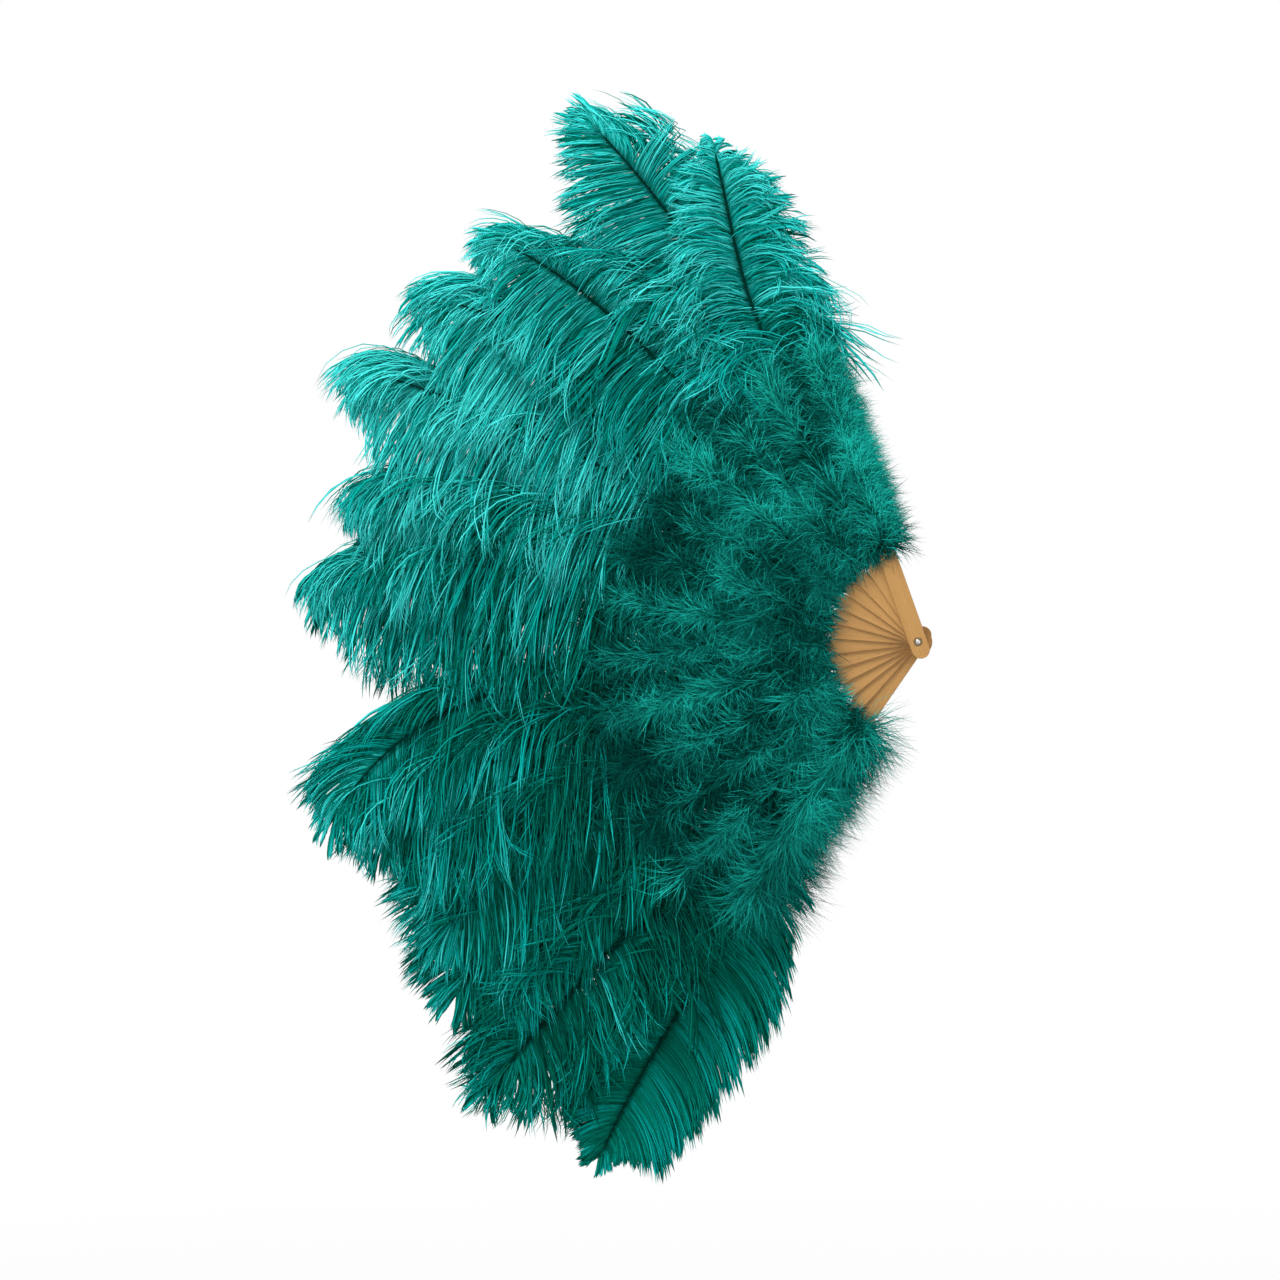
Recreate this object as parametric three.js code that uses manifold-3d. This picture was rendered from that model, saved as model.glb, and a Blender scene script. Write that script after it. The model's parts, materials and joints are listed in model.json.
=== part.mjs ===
// A folding feather fan, open: bamboo staves turn on one rivet, and each carries a plume and a tuft of marabou.
// Millimetres, +Z up. The origin is the middle of the rivet. The fan opens in the XZ plane, with its
// staves towards -X and its front towards -Y. A stave's angle is in degrees, measured up from -X.
// Each stave is drawn along its own X axis, with Y through the fan and Z towards the next stave behind it.

import * as THREE from 'three';
import { mergeVertices } from 'three/addons/utils/BufferGeometryUtils.js';
import Module from 'manifold-3d';

// Clearance between neighbouring pieces
const FIT_GAP = 0.3;

// The open fan
const FRONT_GUARD_ANGLE = 70.5;
const STAVE_PITCH = 10.5;

// The plumes: how far a tip reaches from the rivet and, from the front guard to the rear guard, how much
// longer or shorter each one is and how many degrees its tip sags below its stave
const PLUME_REACH = 640;
const PLUMES = [
  { longer: -48, sag: 2.0 },
  { longer: 26, sag: 2.6 },
  { longer: -6, sag: 7.2 },
  { longer: 1, sag: 3.3 },
  { longer: 27, sag: 2.7 },
  { longer: -18, sag: 3.1 },
  { longer: 13, sag: 2.7 },
  { longer: 24, sag: 9.6 },
  { longer: -8, sag: 4.7 },
  { longer: -18, sag: 5.1 },
  { longer: -6, sag: 1.8 },
  { longer: 44, sag: 0.4 },
  { longer: 1, sag: 3.3 },
];

// Guards, the two broad outer staves
const GUARD_THICKNESS = 4.2;
const GUARD_WIDTH = 19;
const GUARD_TAIL = 18;
const GUARD_BLADE_REACH = 96;
const GUARD_SHOULDER = 8;
const GUARD_RIB_WIDTH = 9;
const GUARD_BEVEL = 0.6;

// Inner sticks, each with a rounded head, a waisted neck, a widening blade and a thin rib
const STICK_THICKNESS = 2.7;
const STICK_TAIL = 15;
const STICK_HEAD_WIDTH = 13;
const STICK_HEAD_REACH = 5;
const STICK_NECK_WIDTH = 7.5;
const STICK_NECK_REACH = 20;
const STICK_BLADE_WIDTH = 16;
const STICK_SHOULDER = 7;
const STICK_SETBACK = 8;
const STICK_RIB_WIDTH = 5;

// Rivet and washers
const RIVET_RADIUS = 1.6;
const RIVET_HEAD_OVERHANG = 1.2;
const RIVET_HEAD_HEIGHT = 1.6;
const WASHER_RIM = 2.6;
const WASHER_THICKNESS = 0.6;
const COUNTERBORE_DEPTH = 1.0;

// Ribbon that stops the staves from opening further
const RIBBON_SETBACK = 14;
const RIBBON_WIDTH = 12;
const RIBBON_THICKNESS = 0.5;

// Marabou tufts; a puff is how far the tuft on a guard swells past the end of the fan
const MARABOU_REACH = 340;
const MARABOU_DEPTH = 46;
const MARABOU_FOOT_DEPTH = 12;
const FRONT_PUFF = 28;
const REAR_PUFF = 54;
const MARABOU_LUMP_HEIGHT = 4;
const MARABOU_LUMPS = 2.5;

// Quills and vanes; the splay is how much further apart neighbouring plumes lie at the longest tip
const RIB_SHORTFALL = 55;
const QUILL_WIDTH = 3.2;
const QUILL_THICKNESS = 1.2;
const VANE_SETBACK = 6;
const VANE_HALF_WIDTH = 62;
const VANE_THICKNESS = 8;
const VANE_EDGE = 1;
const VANE_SPLAY = 10;

// Fineness of the curves, the share of a layer's depth that a vane may fill, and how blunt its ends are
const ARC_STEPS = 7;
const RIVET_STEPS = 20;
const DOME_STEPS = 4;
const VANE_STEPS = 14;
const MARABOU_STEPS = 11;
const LAYER_FILL = 0.6;
const VANE_BLUNTNESS = 2.6;

const STAVES = PLUMES.length;
const LAST = STAVES - 1;
const HALF_PITCH = THREE.MathUtils.degToRad(STAVE_PITCH / 2);
const LONGEST_REACH = PLUME_REACH + Math.max(...PLUMES.map((plume) => plume.longer));
const STACK_DEPTH = 2 * GUARD_THICKNESS + (STAVES - 2) * STICK_THICKNESS + LAST * FIT_GAP;
const SEAT_START = GUARD_BLADE_REACH + GUARD_SHOULDER;
const RIB_REACH = MARABOU_REACH - RIB_SHORTFALL;
const VANE_START = MARABOU_REACH / Math.cos(HALF_PITCH) + VANE_SETBACK;
const HOLE_RADIUS = RIVET_RADIUS + FIT_GAP;
const WASHER_RADIUS = HOLE_RADIUS + WASHER_RIM;
const COUNTERBORE_RADIUS = WASHER_RADIUS + FIT_GAP;

const MATERIALS = {
  bamboo: new THREE.MeshStandardMaterial({ color: 0xc79a58, roughness: 0.55, metalness: 0 }),
  plume: new THREE.MeshStandardMaterial({ color: 0x1f9c84, roughness: 0.9, metalness: 0 }),
  marabou: new THREE.MeshStandardMaterial({ color: 0x0d6b58, roughness: 0.95, metalness: 0 }),
  ribbon: new THREE.MeshStandardMaterial({ color: 0x0f5c4c, roughness: 0.6, metalness: 0 }),
  rivet: new THREE.MeshStandardMaterial({ color: 0xcfcfca, roughness: 0.25, metalness: 1 }),
  washer: new THREE.MeshStandardMaterial({ color: 0x5a554e, roughness: 0.4, metalness: 1 }),
};

const wasm = await Module();
wasm.setup();

// Cuts tools, all closed geometries, out of a body, and gives back the remaining geometry.
function cut(body, tools) {
  const left = tools.reduce((solid, tool) => solid.subtract(solidOf(tool)), solidOf(body));
  const mesh = left.getMesh();
  const geometry = new THREE.BufferGeometry();
  const points = new Float32Array(mesh.vertProperties);
  geometry.setAttribute('position', new THREE.BufferAttribute(points, mesh.numProp));
  geometry.setIndex(new THREE.BufferAttribute(new Uint32Array(mesh.triVerts), 1));
  return geometry;
}

function solidOf(geometry) {
  const bare = geometry.clone();
  bare.deleteAttribute('normal');
  bare.deleteAttribute('uv');
  const merged = mergeVertices(bare);
  return new wasm.Manifold(
    new wasm.Mesh({
      numProp: 3,
      vertProperties: merged.attributes.position.array,
      triVerts: merged.index.array,
    }),
  );
}

// A box between two corners.
function boxBetween(low, high) {
  const size = high.clone().sub(low);
  const middle = high.clone().add(low).multiplyScalar(1 / 2);
  return new THREE.BoxGeometry(size.x, size.y, size.z).translate(middle.x, middle.y, middle.z);
}

// Joins rings of equally many points into one closed skin. Each ring is convex, and turns by the right-hand
// rule about the way to the next ring.
function loft(rings) {
  const sides = rings[0].length;
  const end = (rings.length - 1) * sides;
  const index = [];
  for (let start = 0; start < end; start += sides) {
    for (let side = 0; side < sides; side += 1) {
      const here = start + side;
      const next = start + ((side + 1) % sides);
      index.push(here, next, here + sides);
      index.push(next, next + sides, here + sides);
    }
  }
  for (let side = 1; side < sides - 1; side += 1) {
    index.push(0, side + 1, side);
    index.push(end, end + side, end + side + 1);
  }
  const geometry = new THREE.BufferGeometry().setFromPoints(rings.flat());
  geometry.setIndex(index);
  return geometry;
}

// Where each stave lies: its angle, its front and back faces, and the halves of its depth that its rib and
// its quill take up beyond the seat. The quill lies in front of the rib, but behind it on the rear guard.
function layerOf(number) {
  const isGuard = number === 0 || number === LAST;
  const thickness = isGuard ? GUARD_THICKNESS : STICK_THICKNESS;
  let front = -STACK_DEPTH / 2;
  if (number > 0) {
    front += GUARD_THICKNESS + FIT_GAP + (number - 1) * (STICK_THICKNESS + FIT_GAP);
  }
  const back = front + thickness;
  const quillAtBack = number === LAST;
  const quillMiddle = quillAtBack ? back - QUILL_THICKNESS / 2 : front + QUILL_THICKNESS / 2;
  const seatDepth = QUILL_THICKNESS + FIT_GAP;
  const seat = quillAtBack ? [back - seatDepth, back] : [front, front + seatDepth];
  const rib = quillAtBack ? [front, seat[0]] : [seat[1], back];
  return {
    number,
    isGuard,
    front,
    back,
    quillAtBack,
    quillMiddle,
    seat,
    ribMiddle: (rib[0] + rib[1]) / 2,
    ribWidth: isGuard ? GUARD_RIB_WIDTH : STICK_RIB_WIDTH,
    angle: FRONT_GUARD_ANGLE - number * STAVE_PITCH,
  };
}

// The guard's outline: a broad strip with a round tail, narrowing at a shoulder to its rib.
function guardOutline() {
  const half = GUARD_WIDTH / 2;
  const outline = new THREE.Shape();
  outline.moveTo(RIB_REACH, -GUARD_RIB_WIDTH / 2);
  outline.lineTo(RIB_REACH, GUARD_RIB_WIDTH / 2);
  outline.lineTo(SEAT_START, GUARD_RIB_WIDTH / 2);
  outline.lineTo(GUARD_BLADE_REACH, half);
  outline.lineTo(half - GUARD_TAIL, half);
  outline.absarc(half - GUARD_TAIL, 0, half, Math.PI / 2, (3 * Math.PI) / 2, false);
  outline.lineTo(GUARD_BLADE_REACH, -half);
  outline.lineTo(SEAT_START, -GUARD_RIB_WIDTH / 2);
  return outline;
}

// The inner stick's outline, from its rib over the shoulder, blade and neck to its rounded head and back.
function stickOutline() {
  const half = STICK_HEAD_WIDTH / 2;
  const neck = STICK_NECK_WIDTH / 2;
  const shoulderEnd = SEAT_START - STICK_SETBACK;
  const bladeReach = shoulderEnd - STICK_SHOULDER;
  const waist = (STICK_HEAD_REACH + STICK_NECK_REACH) / 2;
  const outline = new THREE.Shape();
  outline.moveTo(RIB_REACH, -STICK_RIB_WIDTH / 2);
  outline.lineTo(RIB_REACH, STICK_RIB_WIDTH / 2);
  outline.lineTo(shoulderEnd, STICK_RIB_WIDTH / 2);
  outline.lineTo(bladeReach, STICK_BLADE_WIDTH / 2);
  outline.lineTo(STICK_NECK_REACH, neck);
  outline.quadraticCurveTo(waist, neck, STICK_HEAD_REACH, half);
  outline.lineTo(half - STICK_TAIL, half);
  outline.absarc(half - STICK_TAIL, 0, half, Math.PI / 2, (3 * Math.PI) / 2, false);
  outline.lineTo(STICK_HEAD_REACH, -half);
  outline.quadraticCurveTo(waist, -neck, STICK_NECK_REACH, -neck);
  outline.lineTo(bladeReach, -STICK_BLADE_WIDTH / 2);
  outline.lineTo(shoulderEnd, -STICK_RIB_WIDTH / 2);
  return outline;
}

// A stave: its outline at full thickness with the rivet hole, thinned along the rib to seat the quill.
// A guard also has bevelled edges, and a counterbore in its outer face for the washer.
function staveGeometry(layer) {
  const outline = layer.isGuard ? guardOutline() : stickOutline();
  const hole = new THREE.Path();
  hole.absarc(0, 0, HOLE_RADIUS, 0, 2 * Math.PI, true);
  outline.holes.push(hole);
  const bevel = layer.isGuard ? GUARD_BEVEL : 0;
  const plate = new THREE.ExtrudeGeometry(outline, {
    depth: layer.back - layer.front - 2 * bevel,
    curveSegments: ARC_STEPS,
    bevelEnabled: layer.isGuard,
    bevelThickness: bevel,
    bevelSize: bevel,
    bevelOffset: -bevel,
    bevelSegments: 1,
  });
  plate.rotateX(Math.PI / 2).translate(0, layer.back - bevel, 0);
  const past = layer.ribWidth;
  const seat = boxBetween(
    new THREE.Vector3(SEAT_START, layer.quillAtBack ? layer.seat[0] : layer.front - past, -past),
    new THREE.Vector3(RIB_REACH + past, layer.quillAtBack ? layer.back + past : layer.seat[1], past),
  );
  const tools = [seat];
  if (layer.isGuard) {
    const outerFace = layer.number === 0 ? layer.front : layer.back;
    const bore = new THREE.CylinderGeometry(
      COUNTERBORE_RADIUS,
      COUNTERBORE_RADIUS,
      2 * COUNTERBORE_DEPTH,
      RIVET_STEPS,
    );
    tools.push(bore.translate(0, outerFace, 0));
  }
  return cut(plate, tools);
}

// The share of the way from the foot of the vanes to the longest tip at a distance from the rivet.
function splayAt(radius) {
  return Math.max(0, radius - VANE_START) / (LONGEST_REACH - VANE_START);
}

// A plume: a flat quill on its rib, then a vane with a raised shaft along its middle. At every distance from
// the rivet the vane keeps to its own layer of depth, so plumes pass one another as the fan folds.
function plumeGeometry(layer) {
  const { longer, sag } = PLUMES[layer.number];
  const reach = PLUME_REACH + longer;
  const sagAngle = THREE.MathUtils.degToRad(sag);
  const ringAt = (radius, bend, halfWidth, ridge, edge) => {
    const along = new THREE.Vector3(Math.cos(bend), 0, Math.sin(bend));
    const across = new THREE.Vector3(-Math.sin(bend), 0, Math.cos(bend));
    const pointAt = (side, rise) => {
      const point = along.clone().multiplyScalar(radius).addScaledVector(across, side);
      const shift = (layer.number - LAST / 2) * VANE_SPLAY * splayAt(point.length());
      return point.setY(layer.quillMiddle + shift + rise);
    };
    return [
      pointAt(0, ridge),
      pointAt(halfWidth, edge),
      pointAt(halfWidth, -edge),
      pointAt(0, -ridge),
      pointAt(-halfWidth, -edge),
      pointAt(-halfWidth, edge),
    ];
  };
  const flat = QUILL_THICKNESS / 2;
  const rings = [
    ringAt(SEAT_START + FIT_GAP, 0, QUILL_WIDTH / 2, flat, flat),
    ringAt(VANE_START, 0, QUILL_WIDTH / 2, flat, flat),
  ];
  for (let step = 1; step <= VANE_STEPS; step += 1) {
    const share = (1 - Math.cos((Math.PI * step) / VANE_STEPS)) / 2;
    const radius = THREE.MathUtils.lerp(VANE_START, reach, share);
    const swell = Math.sqrt(1 - Math.abs(2 * share - 1) ** VANE_BLUNTNESS);
    const depth = LAYER_FILL * (STICK_THICKNESS + FIT_GAP + VANE_SPLAY * splayAt(radius));
    const ridge = Math.min(VANE_THICKNESS, depth) / 2;
    const edge = Math.min(VANE_EDGE / 2, ridge);
    const halfWidth = Math.max(VANE_HALF_WIDTH * swell, QUILL_WIDTH / 2);
    rings.push(ringAt(radius, sagAngle * share ** 2, halfWidth, ridge, edge));
  }
  return loft(rings);
}

// A tuft: a lumpy sleeve round the rib and quill, filling the stave's own slice of the fan. On a guard it
// swells past the end of the fan. It is slit where the ribbon runs through it to each neighbour.
function marabouGeometry(layer) {
  const foot = SEAT_START + FIT_GAP;
  const middle = (layer.front + layer.back) / 2;
  const rings = [];
  for (let step = 0; step <= MARABOU_STEPS; step += 1) {
    const share = step / MARABOU_STEPS;
    const along = THREE.MathUtils.lerp(foot, MARABOU_REACH, share);
    const swell = Math.sin(Math.PI * share) ** 0.75;
    const side = along * Math.tan(HALF_PITCH) - FIT_GAP / 2 / Math.cos(HALF_PITCH);
    const below = side + (layer.number === LAST ? REAR_PUFF * swell : 0);
    const above = side + (layer.number === 0 ? FRONT_PUFF * swell : 0);
    const lump = MARABOU_LUMP_HEIGHT * swell * Math.sin(2 * Math.PI * MARABOU_LUMPS * share + layer.number);
    const depth = THREE.MathUtils.lerp(MARABOU_FOOT_DEPTH, MARABOU_DEPTH, swell) + lump;
    const corner = [
      [1, below / 2],
      [1 / 2, below],
      [-1 / 2, below],
      [-1, below / 2],
      [-1, -above / 2],
      [-1 / 2, -above],
      [1 / 2, -above],
      [1, -above / 2],
    ];
    rings.push(corner.map(([rise, across]) => new THREE.Vector3(along, middle + rise * depth, across)));
  }
  const slotSide = layer.ribWidth / 2 + FIT_GAP;
  const slot = boxBetween(
    new THREE.Vector3(foot - MARABOU_FOOT_DEPTH, layer.front - FIT_GAP, -slotSide),
    new THREE.Vector3(MARABOU_REACH + MARABOU_FOOT_DEPTH, layer.back + FIT_GAP, slotSide),
  );
  return cut(loft(rings), [slot, ...ribbonSlits(layer)]);
}

// The slits in a tuft for the ribbon's spans to the neighbouring staves.
function ribbonSlits(layer) {
  const inner = (SEAT_START + RIBBON_SETBACK) * Math.cos(HALF_PITCH) - FIT_GAP;
  const outer = (SEAT_START + RIBBON_SETBACK + RIBBON_WIDTH) / Math.cos(HALF_PITCH) + FIT_GAP;
  const room = RIBBON_THICKNESS / 2 + FIT_GAP;
  const slits = [];
  for (const step of [-1, 1]) {
    const neighbour = layer.number + step;
    if (neighbour >= 0 && neighbour <= LAST) {
      const halfway = (layer.ribMiddle + layerOf(neighbour).ribMiddle) / 2;
      const depths = [layer.ribMiddle, halfway].sort((a, b) => a - b);
      const sides = [0, step * outer].sort((a, b) => a - b);
      slits.push(
        boxBetween(
          new THREE.Vector3(inner, depths[0] - room, sides[0]),
          new THREE.Vector3(outer, depths[1] + room, sides[1]),
        ),
      );
    }
  }
  return slits;
}

// One span of the ribbon, drawn along the middle between a stave and the next: a flat strip from rib to rib.
function ribbonGeometry(layer, next) {
  const inner = SEAT_START + RIBBON_SETBACK;
  const outer = inner + RIBBON_WIDTH;
  const ringAt = (end, sign) => {
    const edge = (end.ribWidth / 2 + FIT_GAP) / Math.cos(HALF_PITCH);
    const pointAt = (along, rise) => {
      const across = sign * (along * Math.tan(HALF_PITCH) - edge);
      return new THREE.Vector3(along, end.ribMiddle + rise, across);
    };
    return [
      pointAt(inner, RIBBON_THICKNESS / 2),
      pointAt(inner, -RIBBON_THICKNESS / 2),
      pointAt(outer, -RIBBON_THICKNESS / 2),
      pointAt(outer, RIBBON_THICKNESS / 2),
    ];
  };
  return loft([ringAt(layer, -1), ringAt(next, 1)]);
}

// The rivet: a shank through the stack with a domed head at each end, outside the washers.
function rivetGeometry() {
  const headRadius = HOLE_RADIUS + RIVET_HEAD_OVERHANG;
  const underHead = washerFloor() + WASHER_THICKNESS + FIT_GAP;
  const dome = [];
  for (let step = 0; step <= DOME_STEPS; step += 1) {
    const turn = (Math.PI / 2) * (step / DOME_STEPS);
    const radius = step === DOME_STEPS ? 0 : headRadius * Math.cos(turn);
    dome.push(new THREE.Vector2(radius, underHead + RIVET_HEAD_HEIGHT * Math.sin(turn)));
  }
  const upper = [new THREE.Vector2(RIVET_RADIUS, underHead), ...dome];
  const lower = upper.map((point) => new THREE.Vector2(point.x, -point.y)).reverse();
  return new THREE.LatheGeometry([...lower, ...upper], RIVET_STEPS);
}

// How far from the middle of the stack a washer's inner face lies.
function washerFloor() {
  return STACK_DEPTH / 2 - COUNTERBORE_DEPTH + FIT_GAP;
}

function washerGeometry() {
  const profile = [
    new THREE.Vector2(HOLE_RADIUS, 0),
    new THREE.Vector2(WASHER_RADIUS, 0),
    new THREE.Vector2(WASHER_RADIUS, WASHER_THICKNESS),
    new THREE.Vector2(HOLE_RADIUS, WASHER_THICKNESS),
    new THREE.Vector2(HOLE_RADIUS, 0),
  ];
  return new THREE.LatheGeometry(profile, RIVET_STEPS);
}

function meshOf(name, geometry, material) {
  const mesh = new THREE.Mesh(geometry, material);
  mesh.name = name;
  return mesh;
}

function twoDigits(number) {
  return String(number).padStart(2, '0');
}

function staveName(layer) {
  if (layer.number === 0) {
    return 'front_guard';
  }
  return layer.number === LAST ? 'rear_guard' : `stick_${twoDigits(layer.number)}`;
}

// A group turned about the rivet, so that its X axis lies along a stave at this angle.
function turnedTo(angle) {
  const group = new THREE.Group();
  group.rotation.y = Math.PI + THREE.MathUtils.degToRad(angle);
  return group;
}

function pivotGroup() {
  const group = new THREE.Group();
  const front = meshOf('front_washer', washerGeometry(), MATERIALS.washer);
  front.position.y = -washerFloor() - WASHER_THICKNESS;
  const rear = meshOf('rear_washer', washerGeometry(), MATERIALS.washer);
  rear.position.y = washerFloor();
  group.add(meshOf('pivot_rivet', rivetGeometry(), MATERIALS.rivet), front, rear);
  return group;
}

function staveGroup(layer) {
  const group = turnedTo(layer.angle);
  const label = twoDigits(layer.number + 1);
  group.add(meshOf(staveName(layer), staveGeometry(layer), MATERIALS.bamboo));
  group.add(meshOf(`plume_${label}`, plumeGeometry(layer), MATERIALS.plume));
  group.add(meshOf(`marabou_${label}`, marabouGeometry(layer), MATERIALS.marabou));
  return group;
}

function ribbonGroup(layer, next) {
  const group = turnedTo((layer.angle + next.angle) / 2);
  group.add(meshOf(`ribbon_${twoDigits(next.number)}`, ribbonGeometry(layer, next), MATERIALS.ribbon));
  return group;
}

const fan = new THREE.Group();
fan.add(pivotGroup());
for (let number = 0; number < STAVES; number += 1) {
  const layer = layerOf(number);
  fan.add(staveGroup(layer));
  if (number < LAST) {
    fan.add(ribbonGroup(layer, layerOf(number + 1)));
  }
}

export default fan;
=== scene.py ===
"""A folding feather fan in a small studio: plumes, marabou down, ribbon, and finishes for bamboo and metal.

Metres, +Z up, with the origin in the middle of the rivet. The fan opens in the XZ plane, with its staves
towards -X and its front towards -Y. An angle in the plane of the fan is measured up from -X.
"""

import json
from dataclasses import dataclass
from math import cos, pi, radians, sin
from typing import NamedTuple

import bpy
import numpy as np
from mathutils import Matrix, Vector

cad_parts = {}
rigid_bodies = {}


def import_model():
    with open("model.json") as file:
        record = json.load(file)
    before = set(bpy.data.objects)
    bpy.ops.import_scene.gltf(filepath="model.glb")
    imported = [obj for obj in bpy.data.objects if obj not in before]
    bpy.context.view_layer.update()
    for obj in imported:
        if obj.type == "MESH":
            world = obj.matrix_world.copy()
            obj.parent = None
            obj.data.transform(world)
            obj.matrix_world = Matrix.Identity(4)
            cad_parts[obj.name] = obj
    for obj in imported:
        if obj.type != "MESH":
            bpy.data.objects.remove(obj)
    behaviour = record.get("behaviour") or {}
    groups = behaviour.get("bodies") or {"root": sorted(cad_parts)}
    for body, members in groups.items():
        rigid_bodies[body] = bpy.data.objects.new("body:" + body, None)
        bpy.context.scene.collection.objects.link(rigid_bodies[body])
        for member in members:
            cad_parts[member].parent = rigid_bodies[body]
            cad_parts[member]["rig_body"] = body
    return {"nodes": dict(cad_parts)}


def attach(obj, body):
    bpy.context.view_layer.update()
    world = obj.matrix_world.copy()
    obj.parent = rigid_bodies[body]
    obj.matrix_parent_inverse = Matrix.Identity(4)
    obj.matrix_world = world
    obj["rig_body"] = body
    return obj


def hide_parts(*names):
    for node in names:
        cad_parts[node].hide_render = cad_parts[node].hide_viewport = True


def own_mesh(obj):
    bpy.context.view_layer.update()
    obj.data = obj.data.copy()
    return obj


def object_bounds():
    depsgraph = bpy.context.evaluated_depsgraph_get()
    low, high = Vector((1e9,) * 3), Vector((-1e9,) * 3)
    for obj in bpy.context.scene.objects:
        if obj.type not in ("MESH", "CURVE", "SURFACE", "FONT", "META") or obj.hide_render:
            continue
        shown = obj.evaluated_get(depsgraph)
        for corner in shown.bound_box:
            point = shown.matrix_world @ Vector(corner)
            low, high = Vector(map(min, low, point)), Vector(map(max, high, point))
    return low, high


bl_info = {
    "name": "Feather fan",
    "version": (1, 0, 0),
    "blender": (4, 5, 0),
    "location": "View3D > Sidebar > Feather fan",
    "description": "Plumes, down, ribbon and finishes for a folding feather fan",
    "category": "Object",
}

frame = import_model()
CAD_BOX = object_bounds()
SHADE_MAP = "OFBake"
BLACK = (0, 0, 0, 1)
WHITE = (1, 1, 1, 1)

# The first stave's random seeds, and how far strands may stand out of the frame's box in depth
PLUME_SEED = 120
MARABOU_SEED = 300
PLUME_MARGIN = 0.012
MARABOU_MARGIN = 0.010

# A plume as ruffled as this, or more, has no neat barbs
FULLY_RUFFLED = 0.3

# Units of a ribbon's map in one metre
RIBBON_MAP_SCALE = 10

# The roughness of each metal, and the radius beyond which it is darker: on the rivet, painted shade on the
# slope of its head
RIVET_ROUGHNESS_AND_RIM = (0.28, 0.0021)
WASHER_ROUGHNESS_AND_RIM = (0.42, 0.0060)

# The places and sizes of the lamps, the round floor and the width of the camera's sensor in millimetres
LAMPS = {
    "key": ((-1.6, -2.2, 3.0), 2.2),
    "fill": ((2.4, -3.0, 0.4), 2.6),
    "back": ((0.9, 3.4, 2.2), 2.6),
}
FLOOR_RADIUS = 9
FLOOR_SIDES = 96
SENSOR_WIDTH = 36


class PlumeStyle(NamedTuple):
    """How one plume differs from the others: its shade and the fall of its barbs, at its foot and at its tip,
    how far its barbs spread from the shaft, how long they are and how ruffled, the degrees by which its shaft
    bows and by which its tip rises above that of the frame, and the share of their length that its barbs lose
    towards the tip. A darker shade at the foot is painted shadow from the plumes above."""

    foot_shade: float
    tip_shade: float
    foot_fall: float
    tip_fall: float
    spread: float
    length: float
    ruffle: float
    bow: float
    lift: float
    taper: float = 0.0

    @property
    def neat(self):
        """1 for a plume whose barbs lie in order along its whole shaft, 0 for a ruffled one."""
        return max(0.0, 1 - self.ruffle / FULLY_RUFFLED)


# From the front guard to the rear guard: the upper plumes are pale and hang, the lower ones are deep, partly
# in their own colour and partly as painted shade, and the last one is neat. The darker feet are painted shadow
# from the plumes above them. Each line gives foot_shade, tip_shade, foot_fall, tip_fall, spread, length,
# ruffle, bow and lift, and the first one also taper.
PLUME_STYLES = (
    PlumeStyle(0.50, 0.70, 0.80, 0.50, 0.66, 1.08, 1.3, -7.0, -2.0, 0.6),
    PlumeStyle(0.38, 0.64, 0.80, 0.30, 0.85, 0.95, 0.3, 1.0, 0.0),
    PlumeStyle(0.40, 0.64, 0.85, 0.65, 1.00, 1.05, 0.7, -2.0, 0.0),
    PlumeStyle(0.58, 0.72, 0.90, 0.58, 1.00, 1.25, 0.3, 2.5, -0.5),
    PlumeStyle(0.64, 0.74, 0.95, 0.80, 1.00, 1.25, 0.3, 0.5, 0.0),
    PlumeStyle(0.28, 0.68, 0.95, 0.85, 1.00, 1.32, 0.4, 1.0, 0.0),
    PlumeStyle(0.12, 0.66, 0.90, 0.86, 1.05, 1.28, 0.5, 3.5, 0.8),
    PlumeStyle(0.12, 0.60, 0.85, 0.42, 0.80, 1.10, 0.2, -2.5, -6.0),
    PlumeStyle(0.16, 0.46, 0.82, 0.80, 1.00, 1.25, 0.5, -1.5, -2.5),
    PlumeStyle(0.20, 0.44, 0.65, 0.32, 0.95, 1.12, 0.3, -2.0, -5.0),
    PlumeStyle(0.17, 0.40, 0.70, 0.30, 1.00, 1.10, 0.15, 3.0, -1.5),
    PlumeStyle(0.11, 0.36, 0.60, 0.60, 1.00, 1.00, 0.9, 0.0, -1.0),
    PlumeStyle(0.32, 0.36, 0.10, 0.03, 1.05, 0.92, 0.0, -1.5, 0.5),
)
STAVES = len(PLUME_STYLES)


@dataclass
class Stave:
    """Where one stave, its plume and its tuft lie, read from the frame."""

    number: int
    node: str
    body: str
    angle: float
    depth: float
    foot: float
    down_reach: float
    reach: float
    tip_angle: float
    tip_depth: float


def points_of(node):
    """The corners of a CAD node's mesh, as rows."""
    mesh = frame["nodes"][node].data
    flat = np.empty(3 * len(mesh.vertices), np.float32)
    mesh.vertices.foreach_get("co", flat)
    return flat.reshape(-1, 3).astype(float)


def plane_angle(point):
    """A point's angle in the plane of the fan, up from -X."""
    return np.arctan2(point[2], -point[0])


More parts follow.
